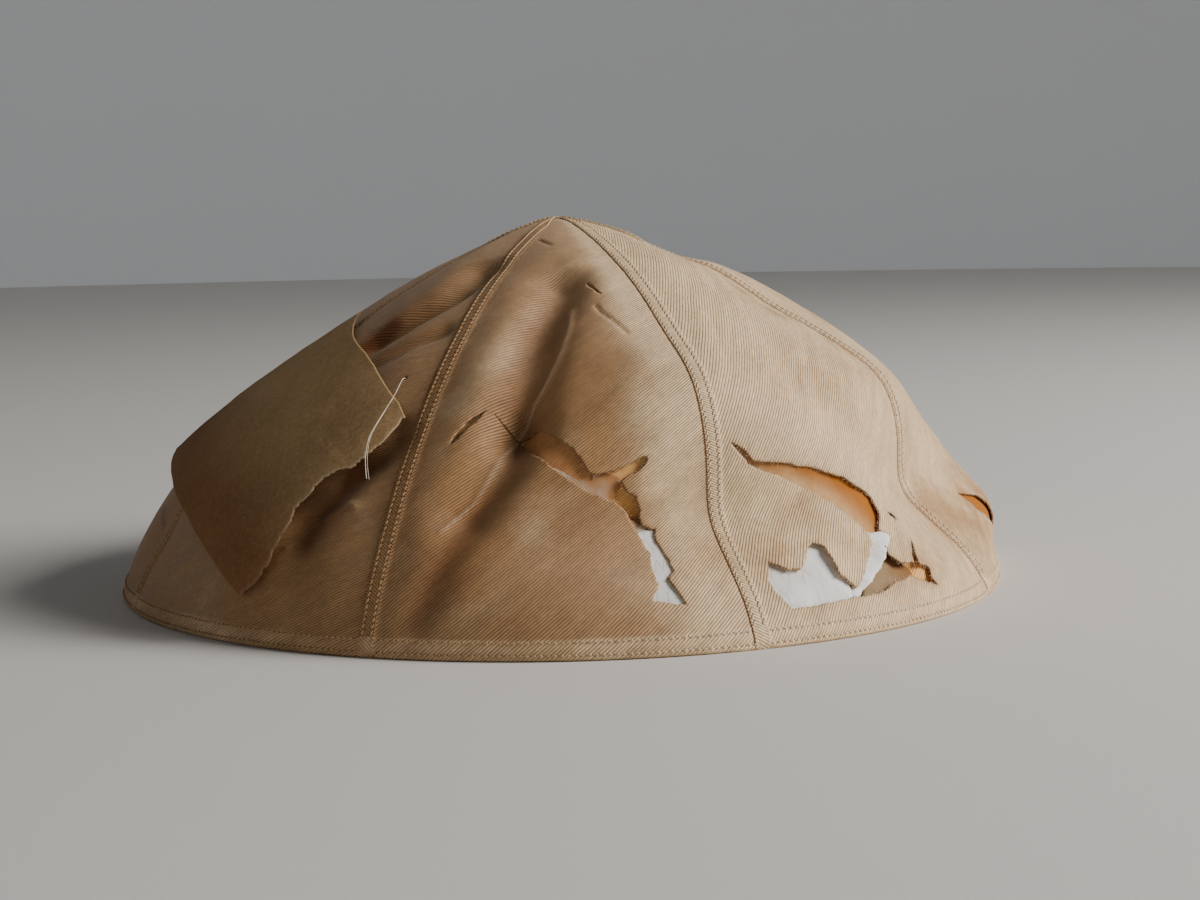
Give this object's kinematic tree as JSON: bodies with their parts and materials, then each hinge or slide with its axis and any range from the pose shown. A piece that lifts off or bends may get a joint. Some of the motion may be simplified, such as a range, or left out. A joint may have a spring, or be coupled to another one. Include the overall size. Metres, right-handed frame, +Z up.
{
  "type": "worn silk skullcap (zucchetto)",
  "caption": "Domed silk skullcap of eight seamed gores with a leather band inside the rim, torn ribbed cloth and a plain paper label sewn on.",
  "frame": {"origin": "centre of the rim, on the surface the cap rests on", "axes": "+Z up through the peak, -Y out of the front gore, +X to the wearer's left as seen from the front"},
  "size_m": [0.1751, 0.175, 0.0729],
  "materials": {
    "silk": "soft sheen, ribbed, aged",
    "leather": "matt, crackled",
    "paper": "matt, fibrous"
  },
  "bodies": {
    "root": {"gore_front": "silk", "gore_front_right": "silk", "gore_right": "silk", "gore_back_right": "silk", "gore_back": "silk", "gore_back_left": "silk", "gore_left": "silk", "gore_front_left": "silk", "leather_band": "leather", "paper_label": "paper"}
  },
  "joints": []
}
